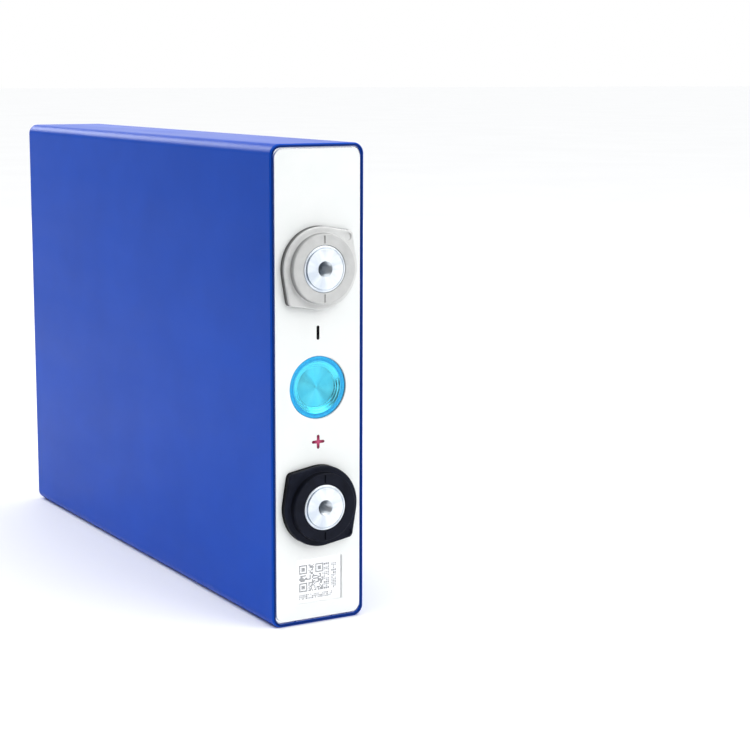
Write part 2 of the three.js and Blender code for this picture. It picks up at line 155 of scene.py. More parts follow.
class Shell:
    """A mesh built from level rings."""

    def __init__(self):
        self.bm = bmesh.new()

    def ring(self, points, height):
        return [self.bm.verts.new((p[0], p[1], height)) for p in points]

    def wall(self, ring_a, ring_b):
        count = len(ring_a)
        for i in range(count):
            j = (i + 1) % count
            self.bm.faces.new((ring_a[i], ring_a[j], ring_b[j], ring_b[i]))

    def walls(self, rings):
        for ring_a, ring_b in zip(rings, rings[1:]):
            self.wall(ring_a, ring_b)

    def fill(self, outer, holes=()):
        """Closes the flat region between an outer ring and any rings inside it."""
        rings = [outer, *holes]
        verts = [v for ring in rings for v in ring]
        flat = [[Vector((v.co.x, v.co.y, 0)) for v in ring] for ring in rings]
        for corners in tessellate_polygon(flat):
            self.bm.faces.new([verts[i] for i in corners])

    def stack(self, outline, profile):
        """A ring of the outline for each (offset, height) of the profile, joined up."""
        rings = [self.ring(trace(outline, offset), height) for offset, height in profile]
        self.walls(rings)
        return rings

    def mesh(self, name):
        """The finished mesh, in metres, with its faces pointing out."""
        bmesh.ops.recalc_face_normals(self.bm, faces=self.bm.faces)
        mesh = bpy.data.meshes.new(name)
        self.bm.to_mesh(mesh)
        self.bm.free()
        mesh.transform(Matrix.Scale(MM, 4))
        return mesh


def add_piece(name, mesh, material, place=MIDDLE, replaces=()):
    """Puts a mesh in place, shades it smooth up to the sharp angle and rides it."""
    piece = bpy.data.objects.new(name, mesh)
    bpy.context.scene.collection.objects.link(piece)
    mesh.materials.append(material)
    mesh.shade_smooth()
    mesh.set_sharp_from_angle(angle=SHARP_ANGLE)
    normals = piece.modifiers.new("weighted_normals", "WEIGHTED_NORMAL")
    normals.keep_sharp = True
    normals.weight = 100
    piece.matrix_world = place
    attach(piece, BODY)
    if replaces:
        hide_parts(*replaces)
    return piece


# ---------------------------------------------------------------- materials


# Tones that change over a piece are lists of (place, tone) stops. The place is a height
# above the label, or a distance from the vent's middle, in millimetres.
HEM_SPAN = 10
HEM_TONES = ((0.0, 0.95), (0.06, 0.3))  # darker where the film is doubled
PAINTED_WALL_SHADE = 0.4  # painted shade: how much darker the insulators' upright walls are painted than their faces
PAINTED_SHADE_SPAN = 5
# Painted shade and light by height above the label: the walls painted darker, the flange's face
# painted lighter than the boss's face.
PAINTED_SHADE_TONES = (
    (0.2, PAINTED_WALL_SHADE * 0.6), (1.25, PAINTED_WALL_SHADE), (1.5, 1.22), (2.05, 1.22), (2.4, PAINTED_WALL_SHADE),
    (3.4, (1 + PAINTED_WALL_SHADE) / 2), (3.9, 1))
VENT_FILM_SPAN = 10
VENT_FILM_TONES = (  # free over the vent, stuck to the lid, and the cut rim
    (7.3, 1), (7.6, (0.40, 0.61, 0.77)), (8.5, (0.48, 0.72, 0.84)), (8.75, (0.4, 0.5, 0.62)))


class Paint:
    """A material on one Principled shader, with short calls for its node network."""

    def __init__(self, name, **sockets):
        self.material = bpy.data.materials.new(name)
        self.material.use_nodes = True
        self.nodes = self.material.node_tree.nodes
        self.links = self.material.node_tree.links
        self.shader = self.nodes["Principled BSDF"]
        self.bump_so_far = None
        for socket, value in sockets.items():
            self.shader.inputs[socket.replace("_", " ")].default_value = value

    def coords(self, stretch=(1, 1, 1)):
        """The piece's own coordinates in millimetres, each divided by its stretch."""
        source = self.nodes.new("ShaderNodeTexCoord")
        mapping = self.nodes.new("ShaderNodeMapping")
        mapping.inputs["Scale"].default_value = [1 / (MM * s) for s in stretch]
        self.links.new(source.outputs["Object"], mapping.inputs["Vector"])
        return mapping.outputs["Vector"]

    def noise(self, size, stretch=(1, 1, 1), detail=2.0, rough=0.5):
        """Noise whose features are about size millimetres across."""
        node = self.nodes.new("ShaderNodeTexNoise")
        node.inputs["Scale"].default_value = 1 / size
        node.inputs["Detail"].default_value = detail
        node.inputs["Roughness"].default_value = rough
        self.links.new(self.coords(stretch), node.inputs["Vector"])
        return node.outputs["Fac"]

    def math(self, operation, first, second=None):
        node = self.nodes.new("ShaderNodeMath")
        node.operation = operation
        for socket, value in zip(node.inputs, (first, second)):
            if value is None:
                continue
            if isinstance(value, (int, float)):
                socket.default_value = value
            else:
                self.links.new(value, socket)
        return node.outputs["Value"]

    def split(self):
        """The piece's own X, Y and Z in millimetres, as sockets."""
        node = self.nodes.new("ShaderNodeSeparateXYZ")
        self.links.new(self.coords(), node.inputs["Vector"])
        return node.outputs

    def height(self):
        """Height along the piece's own axis, in millimetres."""
        return self.split()["Z"]

    def radius(self):
        """Distance from the piece's own axis, in millimetres."""
        parts = self.split()
        x, y = parts["X"], parts["Y"]
        squares = self.math("ADD", self.math("MULTIPLY", x, x), self.math("MULTIPLY", y, y))
        return self.math("SQRT", squares)

    def stops(self, value, span, *stops):
        """A tone, grey or coloured, that follows (value, tone) stops over 0 to span."""
        node = self.nodes.new("ShaderNodeValToRGB")
        elements = node.color_ramp.elements
        while len(elements) < len(stops):
            elements.new(1.0)
        for element, (at, tone) in zip(elements, stops):
            element.position = at / span
            element.color = (*tone, 1) if isinstance(tone, tuple) else (tone, tone, tone, 1)
        self.links.new(self.math("DIVIDE", value, span), node.inputs["Fac"])
        return node.outputs["Color"]

    def blend(self, colour, other, share):
        """A colour moved towards another by a 0 to 1 share."""
        fade = self.math("SUBTRACT", 1.0, share)
        parts = []
        for tint, amount in ((colour, fade), (other, share)):
            node = self.nodes.new("ShaderNodeVectorMath")
            node.operation = "SCALE"
            if isinstance(tint, tuple):
                node.inputs[0].default_value = tint
            else:
                self.links.new(tint, node.inputs[0])
            self.links.new(amount, node.inputs["Scale"])
            parts.append(node.outputs["Vector"])
        node = self.nodes.new("ShaderNodeVectorMath")
        node.operation = "ADD"
        for part, socket in zip(parts, node.inputs):
            self.links.new(part, socket)
        return node.outputs["Vector"]

    def times(self, first, second):
        """One colour multiplied by another."""
        node = self.nodes.new("ShaderNodeVectorMath")
        node.operation = "MULTIPLY"
        self.links.new(first, node.inputs[0])
        self.links.new(second, node.inputs[1])
        return node.outputs["Vector"]

    def lathe_noise(self, pitch):
        """Rings of uneven strength round the piece's axis."""
        node = self.nodes.new("ShaderNodeTexNoise")
        node.noise_dimensions = "1D"
        node.inputs["Scale"].default_value = 1 / pitch
        node.inputs["Detail"].default_value = 3.0
        self.links.new(self.radius(), node.inputs["W"])
        return node.outputs["Fac"]

    def fan_noise(self, scale):
        """Streaks that fan out from the piece's axis, by the direction a point lies in."""
        aim = self.nodes.new("ShaderNodeVectorMath")
        aim.operation = "NORMALIZE"
        self.links.new(self.coords(stretch=(1, 1, 4)), aim.inputs[0])
        node = self.nodes.new("ShaderNodeTexNoise")
        node.inputs["Scale"].default_value = scale
        node.inputs["Detail"].default_value = 4.0
        self.links.new(aim.outputs["Vector"], node.inputs["Vector"])
        return node.outputs["Fac"]

    def ramp(self, value, low, high, start=0.3, end=0.7):
        """Turns a 0 to 1 value into a colour or, with plain numbers, into a number."""
        if isinstance(low, (int, float)):
            node = self.nodes.new("ShaderNodeMapRange")
            node.inputs["From Min"].default_value = start
            node.inputs["From Max"].default_value = end
            node.inputs["To Min"].default_value = low
            node.inputs["To Max"].default_value = high
            self.links.new(value, node.inputs["Value"])
            return node.outputs["Result"]
        node = self.nodes.new("ShaderNodeValToRGB")
        node.color_ramp.elements[0].position = start
        node.color_ramp.elements[1].position = end
        node.color_ramp.elements[0].color = (*low, 1)
        node.color_ramp.elements[1].color = (*high, 1)
        self.links.new(value, node.inputs["Fac"])
        return node.outputs["Color"]

    def colour(self, value):
        self.links.new(value, self.shader.inputs["Base Color"])

    def roughness(self, value):
        self.links.new(value, self.shader.inputs["Roughness"])

    def bump(self, value, depth):
        """Adds relief of the given depth in millimetres to what is there already."""
        node = self.nodes.new("ShaderNodeBump")
        node.inputs["Strength"].default_value = 1.0
        node.inputs["Distance"].default_value = depth * MM
        self.links.new(value, node.inputs["Height"])
        if self.bump_so_far is not None:
            self.links.new(self.bump_so_far, node.inputs["Normal"])
        self.bump_so_far = node.outputs["Normal"]
        self.links.new(self.bump_so_far, self.shader.inputs["Normal"])


def blue_film(name, hem=()):
    """Polyester film pulled tight along the cell; hem holds its (height, tone) stops."""
    paint = Paint(name, Specular_IOR_Level=0.06, IOR=1.5)
    tone = paint.ramp(
        paint.noise(26, detail=3), (0.004, 0.066, 0.48), (0.008, 0.088, 0.61), 0.1, 0.9)
    if hem:
        tone = paint.times(tone, paint.stops(paint.height(), HEM_SPAN, *hem))
    paint.colour(tone)
    paint.roughness(paint.ramp(paint.noise(14, stretch=(1, 1, 6), detail=2), 0.29, 0.43, 0.0, 1.0))
    paint.bump(paint.noise(7, stretch=(1, 1, 24), detail=1), 0.06)
    return paint.material


def white_label():
    """Matt white plastic sheet."""
    paint = Paint("white_label", Specular_IOR_Level=0.4)
    paint.colour(paint.ramp(
        paint.noise(14, detail=4), (0.90, 0.93, 0.92), (0.94, 0.95, 0.945)))
    paint.roughness(paint.ramp(paint.noise(1.2, detail=3), 0.42, 0.55))
    paint.bump(paint.noise(0.25, detail=3), 0.003)
    return paint.material


def ink(name, dark, light, shine=0.3, middle=()):
    """Printed ink with specks; the middle of a mark can be (colour, from, to) another."""
    paint = Paint(name, Specular_IOR_Level=shine)
    tone = paint.ramp(paint.noise(0.22, detail=4), dark, light, 0.35, 0.75)
    if middle:
        colour, near, far = middle
        tone = paint.blend(tone, colour, paint.ramp(paint.radius(), 1.0, 0.0, near, far))
    paint.colour(tone)
    paint.roughness(paint.ramp(paint.noise(0.4), 0.45, 0.6))
    paint.bump(paint.noise(0.12, detail=3), 0.004)
    return paint.material


def moulded_plastic(name, dark, light, shine, grain=0.01):
    """Injection-moulded plastic: spark-eroded grain, flow marks, and painted shade that darkens
    its upright walls by height.
    """
    paint = Paint(name, Specular_IOR_Level=shine)
    tone = paint.ramp(paint.noise(4.5, detail=5, rough=0.6), dark, light)
    # painted shade: the tone is multiplied by a darkening of the walls, and a lightening of the
    # flange face, by height
    painted_shade = paint.stops(paint.height(), PAINTED_SHADE_SPAN, *PAINTED_SHADE_TONES)
    paint.colour(paint.times(tone, painted_shade))
    paint.roughness(paint.ramp(paint.noise(0.5, detail=3), 0.44, 0.6))
    paint.bump(paint.noise(0.16, detail=3, rough=0.6), grain)
    return paint.material


def turned_metal(name, dark, light, smooth, rough, pitch=0.16, brushed=0.1, turned=0.0):
    """Metal faced on a lathe: fine rings round the axis, and streaks fanning out from it."""
    paint = Paint(name, Metallic=1.0, Anisotropic=brushed, Anisotropic_Rotation=turned)
    paint.colour(paint.ramp(paint.fan_noise(1.3), dark, light, 0.38, 0.62))
    paint.roughness(paint.ramp(paint.lathe_noise(pitch * 1.7), smooth, rough))
    paint.bump(paint.lathe_noise(pitch), 0.0015)
    tangent = paint.nodes.new("ShaderNodeTangent")
    tangent.direction_type = "RADIAL"
    tangent.axis = "Z"
    paint.links.new(tangent.outputs["Tangent"], paint.shader.inputs["Tangent"])
    return paint.material


def sheet_metal(name, dark, light, stretch=(1, 30, 1), smooth=0.24, rough=0.4):
    """Rolled sheet or foil with a grain along one direction."""
    paint = Paint(name, Metallic=1.0)
    paint.colour(paint.ramp(paint.noise(0.6, stretch=stretch, detail=4), dark, light))
    paint.roughness(paint.ramp(paint.noise(2.5, detail=4), smooth, rough))
    paint.bump(paint.noise(0.12, stretch=stretch, detail=3), 0.004)
    return paint.material


def clear_film():
    """Thin clear blue film: it tints what lies under it and shines on top."""
    paint = Paint(
        "clear_blue_film", Transmission_Weight=1.0, IOR=1.28, Specular_IOR_Level=0.5)
    tone = paint.ramp(paint.noise(5, detail=3), (0.26, 0.84, 0.99), (0.35, 0.89, 1.0))
    depth = paint.stops(paint.radius(), VENT_FILM_SPAN, *VENT_FILM_TONES)
    paint.colour(paint.times(tone, depth))
    paint.roughness(paint.ramp(paint.noise(3, detail=2), 0.02, 0.06))
    paint.bump(paint.noise(4, detail=2), 0.02)
    return paint.material


def rubber():
    paint = Paint("seal_rubber", Specular_IOR_Level=0.3)
    paint.colour(paint.ramp(
        paint.noise(0.8, detail=5), (0.010, 0.010, 0.012), (0.022, 0.022, 0.024)))
    paint.roughness(paint.ramp(paint.noise(0.3, detail=3), 0.62, 0.85))
    paint.bump(paint.noise(0.2, detail=4), 0.01)
    return paint.material


def natural_plastic():
    """Unpigmented plastic that lets a little light in."""
    paint = Paint("natural_plastic", Specular_IOR_Level=0.4, Subsurface_Weight=0.15)
    paint.shader.inputs["Subsurface Scale"].default_value = MM
    paint.colour(paint.ramp(paint.noise(7, detail=4), (0.74, 0.77, 0.74), (0.82, 0.84, 0.81)))
    paint.roughness(paint.ramp(paint.noise(1.1, detail=3), 0.4, 0.58))
    paint.bump(paint.noise(0.4, detail=3), 0.008)
    return paint.material


def wound_electrode():
    """Separator film wound over black electrode, wrinkled a little along the winding."""
    paint = Paint("wound_electrode", Specular_IOR_Level=0.4)
    paint.colour(paint.ramp(
        paint.noise(2.2, stretch=(1, 8, 1), detail=5), (0.022, 0.023, 0.027), (0.07, 0.073, 0.08)))
    paint.roughness(paint.ramp(paint.noise(1.6, detail=3), 0.38, 0.6))
    paint.bump(paint.noise(1.5, stretch=(1, 10, 1), detail=3), 0.03)
    return paint.material


def green_tape():
    paint = Paint("green_tape", Specular_IOR_Level=0.5)
    paint.colour(paint.ramp(paint.noise(3, detail=4), (0.03, 0.27, 0.11), (0.05, 0.33, 0.15)))
    paint.roughness(paint.ramp(paint.noise(1.2, detail=3), 0.25, 0.42))
    paint.bump(paint.noise(0.8, stretch=(1, 6, 1), detail=3), 0.01)
    return paint.material


def studio_floor():
    paint = Paint("studio_floor", Specular_IOR_Level=0.1)
    paint.colour(paint.ramp(
        paint.noise(180, detail=2), (0.955, 0.96, 0.965), (0.975, 0.98, 0.985)))
    paint.roughness(paint.ramp(paint.noise(60), 0.75, 0.85))
    return paint.material


def black_card():
    """Matt dark card."""
    paint = Paint("black_card", Specular_IOR_Level=0.05)
    paint.colour(paint.ramp(paint.noise(20, detail=3), (0.08, 0.08, 0.08), (0.10, 0.10, 0.10)))
    paint.roughness(paint.ramp(paint.noise(4), 0.8, 0.95))
    return paint.material


FILM = blue_film("blue_film")
HEMMED_FILM = blue_film("hemmed_blue_film", hem=HEM_TONES)
LABEL = white_label()
BLACK_INK = ink("black_ink", (0.0015, 0.0015, 0.002), (0.006, 0.006, 0.007), shine=0.05)
RED_INK = ink(
    "crimson_ink", (0.14, 0.005, 0.03), (0.22, 0.012, 0.055), shine=0.1,
    middle=((0.55, 0.09, 0.19), 0.2, 1.5))
GREY_PLASTIC = moulded_plastic(
    "grey_plastic", (0.54, 0.545, 0.54), (0.63, 0.635, 0.63), shine=0.3, grain=0.014)
BLACK_PLASTIC = moulded_plastic(
    "black_plastic", (0.004, 0.005, 0.010), (0.009, 0.011, 0.021), shine=0.09)
PLATED = turned_metal(
    "plated_pole", (0.62, 0.68, 0.76), (0.84, 0.88, 0.92), smooth=0.29, rough=0.4)
VENT_METAL = turned_metal(
    "vent_metal", (0.82, 0.88, 0.92), (0.98, 0.98, 0.98), smooth=0.38, rough=0.5, pitch=0.4,
    brushed=0.9, turned=0.25)
ALUMINIUM = sheet_metal("case_aluminium", (0.80, 0.81, 0.83), (0.91, 0.915, 0.925))
COLLECTOR_ALUMINIUM = sheet_metal("collector_aluminium", (0.76, 0.77, 0.79), (0.88, 0.89, 0.9))
LID_METAL = sheet_metal(
    "lid_aluminium", (0.90, 0.91, 0.93), (0.97, 0.975, 0.985), stretch=(1, 8, 1),
    smooth=0.16, rough=0.26)
CODE_INK = ink("laser_mark", (0.30, 0.31, 0.33), (0.48, 0.49, 0.51))
COPPER = sheet_metal("copper", (0.72, 0.30, 0.17), (0.90, 0.46, 0.30))
CLEAR_FILM = clear_film()
RUBBER = rubber()
NATURAL_PLASTIC = natural_plastic()
ELECTRODE = wound_electrode()
TAPE = green_tape()

# ---------------------------------------------------------------- materials of the CAD nodes

SLOT_MATERIALS = {
    "blue_film": FILM,
    "white_label": LABEL,
    "case_aluminium": ALUMINIUM,
    "vent_film": CLEAR_FILM,
    "inner_plastic": NATURAL_PLASTIC,
    "seal_rubber": RUBBER,
    "grey_plastic": GREY_PLASTIC,
    "black_plastic": BLACK_PLASTIC,
    "plated_pole": PLATED,
    "copper": COPPER,
    "collector_aluminium": COLLECTOR_ALUMINIUM,
    "electrode_roll": ELECTRODE,
    "core_tape": TAPE,
}
for subpart in frame["record"]["subparts"]:
    node_mesh = frame["nodes"][subpart["node"]].data
    node_mesh.materials.clear()
    node_mesh.materials.append(SLOT_MATERIALS[subpart["material_slot"]])

# ---------------------------------------------------------------- blue film

FILM_THICKNESS = 0.25
EDGE_RADIUS = 3.1  # the four long edges
FOLD = 0.75  # outer fold of the hem
HEM_WIDTH = 0.98
HEM_LIP = 0.22  # rounding of the hem's inner edge
BASE_ROUND = 0.7
LID_GAP = 0.03
SEAM = {"width": 12.0, "thickness": 0.12, "corner": 1.0, "offset": 22.0, "margin": 2.0}
PATCH_LIP = 0.12
PATCH_GRID = (34, 150)  # quads across and up
FLAP = {"lap": 1.5, "step": 0.07, "soft": 0.25}  # edges of the folded flaps under the patch


def make_wrap():
    """The sleeve, its hem turned in over the lid, and the folded base, as one film."""
    width, height, _ = size_of("insulating_wrap")
    outline = rounded_rect(width, height, EDGE_RADIUS, steps=14)
    low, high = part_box("insulating_wrap")
    top, base = height_of(low.y), height_of(high.y)
    under_hem = height_of(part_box("cover_plate")[0].y) + LID_GAP
    shell = Shell()
    outside = shell.stack(outline, [
        (-HEM_WIDTH, under_hem),
        *rounding(HEM_LIP, HEM_LIP - HEM_WIDTH, top - HEM_LIP, 180, 90, 6),
        *rounding(FOLD, -FOLD, top - FOLD, 90, 0, 10)[1:],
        *rounding(BASE_ROUND, -BASE_ROUND, base + BASE_ROUND, 0, -90, 8),
    ])
    inside = shell.stack(outline, [
        (-FILM_THICKNESS - LID_GAP, base + FILM_THICKNESS),
        (-FILM_THICKNESS - LID_GAP, under_hem),
    ])
    shell.fill(outside[-1])
    shell.fill(inside[0])
    shell.wall(inside[-1], outside[0])
    add_piece(
        "blue_wrap", shell.mesh("blue_wrap"), HEMMED_FILM,
        replaces=["insulating_wrap"])


def make_wrap_seam():
    """The strip where the film's end laps over its start, on the right broad side."""
    low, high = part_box("insulating_wrap")
    length = (high.y - low.y) / MM - 2 * SEAM["margin"]
    outline = rounded_rect(length, SEAM["width"], SEAM["corner"], steps=6)
    shell = Shell()
    thick = SEAM["thickness"]
    rings = shell.stack(outline, rounding(thick, -thick, 0, 0, 90, 4))
    shell.fill(rings[0])
    shell.fill(rings[-1])
    place = Matrix.Translation(
        (high.x, (low.y + high.y) / 2, MIDDLE_Z + SEAM["offset"] * MM))
    place = place @ Matrix(((0, 0, 1), (1, 0, 0), (0, 1, 0))).to_4x4()
    add_piece("wrap_seam", shell.mesh("wrap_seam"), FILM, place=place)


def make_base_patch():
    """The patch over the folded base, with the edges of the flaps showing through it."""
    width, height, depth = size_of("base_patch")
    base = height_of(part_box("base_patch")[1].y)
    columns, rows = PATCH_GRID
    lip = PATCH_LIP

    def corner_to_disc(x, y, half_x, half_y, radius):
        """Moves a point of a rectangle's square corner to where the rounded corner has it."""
        a, b = abs(x) - (half_x - radius), abs(y) - (half_y - radius)
        if a <= 0 or b <= 0:
            return x, y
        twice = 2 * radius**2
        round_a, round_b = a * math.sqrt(1 - b * b / twice), b * math.sqrt(1 - a * a / twice)
        return (
            math.copysign(round_a + half_x - radius, x),
            math.copysign(round_b + half_y - radius, y),
        )

    def fold_relief(x, y):
        """How far the film lies below its lowest plane: steps at the flaps' edges."""
        tuck = max(0.0, abs(y) - (height / 2 - width / 2))
        along = abs(x) - (width / 2 - tuck) if tuck > 0 else x - FLAP["lap"]
        return FLAP["step"] / (1 + math.exp(-along / FLAP["soft"]))

    def grid_point(i, j, inset):
        half_x, half_y = width / 2 - inset, height / 2 - inset
        x, y = (2 * i / columns - 1) * half_x, (2 * j / rows - 1) * half_y
        return corner_to_disc(x, y, half_x, half_y, EDGE_RADIUS - inset)

    shell = Shell()
    edge = (
        [(i, 0) for i in range(columns)]
        + [(columns, j) for j in range(rows)]
        + [(i, rows) for i in range(columns, 0, -1)]
        + [(0, j) for j in range(rows, 0, -1)]
    )
    rings = []
    for inset, lift in [(0, depth), *rounding(-lip, lip, lip, 0, 90, 4)[:-1]]:
        rings.append(shell.ring([grid_point(i, j, inset) for i, j in edge], base + lift))
    shell.walls(rings)
    shell.fill(rings[0])
    verts = {}
    for i in range(columns + 1):
        for j in range(rows + 1):
            x, y = grid_point(i, j, lip)
            verts[i, j] = shell.bm.verts.new((x, y, base + fold_relief(x, y)))
    for i in range(columns):
        for j in range(rows):
            corners = [(i, j), (i + 1, j), (i + 1, j + 1), (i, j + 1)]
            shell.bm.faces.new([verts[c] for c in corners])
    shell.wall(rings[-1], [verts[c] for c in edge])
    add_piece(
        "base_film_patch", shell.mesh("base_film_patch"), FILM,
        replaces=["base_patch"])


make_wrap()
make_wrap_seam()
make_base_patch()

# ---------------------------------------------------------------- terminals

TERMINALS = {
    "negative": {"lean": 1, "plastic": GREY_PLASTIC, "slot": "grey_plastic"},
    "positive": {"lean": -1, "plastic": BLACK_PLASTIC, "slot": "black_plastic"},
}
FLANGE = {"radius": 11.5, "corner": 14.1, "fillet": 1.5, "top": 2.0, "round": 0.42}
BOSS = {"radius": 9.7, "draft": 0.12, "fillet": 0.3, "round": 0.32, "top": 4.0}
POCKET = {"radius": 6.56, "chamfer": 0.16, "floor": 0.6}
NOTCH = {
    "inner": 6.95, "outer": 9.25, "width": 0.46, "radius": 0.21, "depth": 0.35, "lip": 0.05}
DIMPLE = {"distance": 11.9, "radius": 1.1, "depth": 0.35, "lip": 0.12}
SHANK = 3.9
SHANK_CLEARANCE = 0.05
HEAD = {"radius": 6.5, "bottom": 0.65, "top": 4.0, "round": 0.28}
PAD = {"radius": 5.65, "top": 4.3, "round": 0.14, "fillet": 0.1}
GROOVE = {"width": 0.3, "floor": 3.6}
SWAGE = {"radius": 5.2, "height": 0.6, "round": 0.14}
THREAD = {"minor": 2.1, "major": 2.5, "pitch": 0.8, "end": -1.7}
FLANK_RISE = 2.6  # the thread's flank, as a share of its depth for one pitch
ROOT_FLAT = 0.1
DRILL_POINT = {"depth": 1.26, "tip": 0.12}
MOUTH = {"radius": 2.2, "round": 0.06}
THREAD_STEPS = 64
THREAD_ROWS = 12  # rows of the mesh in one pitch


def flange_outline(lean):
    """A circle drawn out into two opposite corners, each cut off by a fillet."""
    tangent = math.acos(FLANGE["radius"] / FLANGE["corner"])
    reach = FLANGE["corner"] - FLANGE["fillet"] / math.cos(tangent)
    outline = []
    for turn in (0, math.pi):
        corner = math.pi / 2 - lean * math.pi / 4 + turn
        x, y = reach * math.cos(corner), reach * math.sin(corner)
        outline.append((x, y, FLANGE["fillet"], corner - tangent, corner + tangent, 12))
        outline.append(
            (0.0, 0.0, FLANGE["radius"], corner + tangent, corner + math.pi - tangent, 48))
    return outline


def sunk_hole(shell, outline, top, depth, lip):
    """A shallow recess with a rounded rim. Returns the rim's ring, to leave out of the face."""
    rings = shell.stack(outline, [
        *rounding(-lip, lip, top - lip, -90, 0, 3),
        (0, top - depth),
    ])
    shell.fill(rings[-1])
    return rings[0]


def make_insulator(name, lean, plastic, slot):
    """Flange and raised boss with a pocket for the pole's head."""
    bottom = height_of(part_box(f"{name}_upper_insulator")[1].y)
    shell = Shell()
    edge, top = FLANGE["round"], FLANGE["top"]
    flange = shell.stack(flange_outline(lean), [
        (0, bottom),
        (0, top - edge),
        *rounding(edge, -edge, top - edge, 0, 90, 6)[1:],
    ])
    root = BOSS["radius"] + BOSS["draft"]
    crown = BOSS["round"]
    boss = shell.stack(circle(0), [
        *rounding(-BOSS["fillet"], root + BOSS["fillet"], top + BOSS["fillet"], 90, 0, 4),
        *rounding(crown, BOSS["radius"] - crown, BOSS["top"] - crown, 0, 90, 6),
    ])
    chamfer = POCKET["chamfer"]
    pocket = shell.stack(circle(0), [
        *rounding(-chamfer, POCKET["radius"] + chamfer, BOSS["top"] - chamfer, -90, 0, 4),
        (POCKET["radius"], POCKET["floor"]),
        (SHANK + SHANK_CLEARANCE, POCKET["floor"]),
        (SHANK + SHANK_CLEARANCE, bottom),
    ])
    middle = (NOTCH["inner"] + NOTCH["outer"]) / 2
    slot_outline = rounded_rect(
        NOTCH["width"], NOTCH["outer"] - NOTCH["inner"], NOTCH["radius"], steps=5)
    notches = [
        sunk_hole(shell, moved(slot_outline, 0, y), BOSS["top"], NOTCH["depth"], NOTCH["lip"])
        for y in (middle, -middle)
    ]
    diagonal = DIMPLE["distance"] * math.sqrt(0.5)
    dimple = sunk_hole(
        shell, moved(circle(DIMPLE["radius"], 32), diagonal, lean * diagonal),
        top, DIMPLE["depth"], DIMPLE["lip"])
    shell.fill(flange[-1], [boss[0], dimple])
    shell.fill(boss[-1], [pocket[0], *notches])
    shell.fill(flange[0], [pocket[-1]])
    piece = f"{name}_terminal_insulator"
    add_piece(
        piece, shell.mesh(piece), plastic, place_at(centre_of(f"{name}_pole")),
        replaces=[f"{name}_upper_insulator"])


def thread_radius(angle, depth):
    """Radius of the threaded bore at an angle and a depth below the pad."""
    phase = (depth / THREAD["pitch"] + angle / (2 * math.pi)) % 1
    rise = min(1.0, max(0.0, FLANK_RISE * abs(phase - 0.5) - ROOT_FLAT))
    return THREAD["major"] - (THREAD["major"] - THREAD["minor"]) * rise


def add_thread(shell, mouth):
    """The helical thread from the mouth's last ring down to the drilled point."""
    start = PAD["top"] - MOUTH["round"]
    rows = int((start - THREAD["end"]) / THREAD["pitch"] * THREAD_ROWS)
    above = mouth
    for row in range(1, rows + 1):
        depth = (start - THREAD["end"]) * row / rows
        lead_in = MOUTH["radius"] - depth
        points = []
        for i in range(THREAD_STEPS):
            angle = 2 * math.pi * i / THREAD_STEPS
            radius = max(thread_radius(angle, depth), lead_in)
            points.append((radius * math.cos(angle), radius * math.sin(angle)))
        ring = shell.ring(points, start - depth)
        shell.wall(above, ring)
        above = ring
    drilled = shell.stack(circle(0, THREAD_STEPS), [
        (THREAD["minor"], THREAD["end"] - THREAD["pitch"]),
        (DRILL_POINT["tip"], THREAD["end"] - THREAD["pitch"] - DRILL_POINT["depth"]),
    ])
    shell.wall(above, drilled[0])
    shell.fill(drilled[-1])


def make_pole(name):
    """Swaged foot, shank, round head with a raised contact pad, and a blind thread."""
    foot = height_of(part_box(f"{name}_pole")[1].y)
    soft = SWAGE["round"]
    edge, rim, step = HEAD["round"], PAD["round"], PAD["fillet"]
    shell = Shell()
    body = shell.stack(circle(0, 2 * THREAD_STEPS), [
        *rounding(soft, SWAGE["radius"] - soft, foot + soft, -90, 0, 4),
        *rounding(soft, SWAGE["radius"] - soft, foot + SWAGE["height"] - soft, 0, 90, 4),
        (SHANK, foot + SWAGE["height"]),
        (SHANK, HEAD["bottom"]),
        *rounding(soft, HEAD["radius"] - soft, HEAD["bottom"] + soft, -90, 0, 4),
        *rounding(edge, HEAD["radius"] - edge, HEAD["top"] - edge, 0, 90, 6),
        *rounding(step, PAD["radius"] + GROOVE["width"] + step, HEAD["top"] - step, 90, 180, 4),
        (PAD["radius"] + GROOVE["width"], GROOVE["floor"]),
        *rounding(-step, PAD["radius"] + step, GROOVE["floor"] + step, 90, 0, 4),
        *rounding(rim, PAD["radius"] - rim, PAD["top"] - rim, 0, 90, 5),
    ])
    lip = MOUTH["round"]
    mouth = shell.stack(
        circle(0, THREAD_STEPS),
        rounding(-lip, MOUTH["radius"] + lip, PAD["top"] - lip, -90, 0, 3))
    shell.fill(body[0])
    shell.fill(body[-1], [mouth[0]])
    add_thread(shell, mouth[-1])
    piece = f"{name}_terminal"
    add_piece(
        piece, shell.mesh(piece), PLATED, place_at(centre_of(f"{name}_pole")),
        replaces=[f"{name}_pole"])


for terminal, look in TERMINALS.items():
    make_insulator(terminal, **look)
    make_pole(terminal)

# ---------------------------------------------------------------- label and its marks

LABEL_RADIUS = 2.6
LABEL_GROOVE = 0.1  # how much narrower the sheet is than the opening left for it
LABEL_LIP = 0.07
FLANGE_GAP = 0.12
WINDOW_RADIUS = 8.95
CODE_WINDOW = {"x": 0.43, "y": -55.3, "width": 14.5, "height": 12.8, "radius": 0.3}
MINUS = {"y": 15.45, "length": 4.0, "stroke": 0.9}
PLUS = {"y": -15.4, "length": 4.0, "stroke": 0.85}
PLUS_FILLET = 0.12
INK_THICKNESS = 0.02
INK_EDGE = 0.03


def terminal_y(name):
    """Where a terminal is on the face, up from the middle."""
    return (centre_of(f"{name}_pole").z - MIDDLE_Z) / MM


def code_window():
    """The label's opening over the marked code."""
    window = CODE_WINDOW
    outline = rounded_rect(window["width"], window["height"], window["radius"], steps=6)
    return moved(outline, window["x"], window["y"])


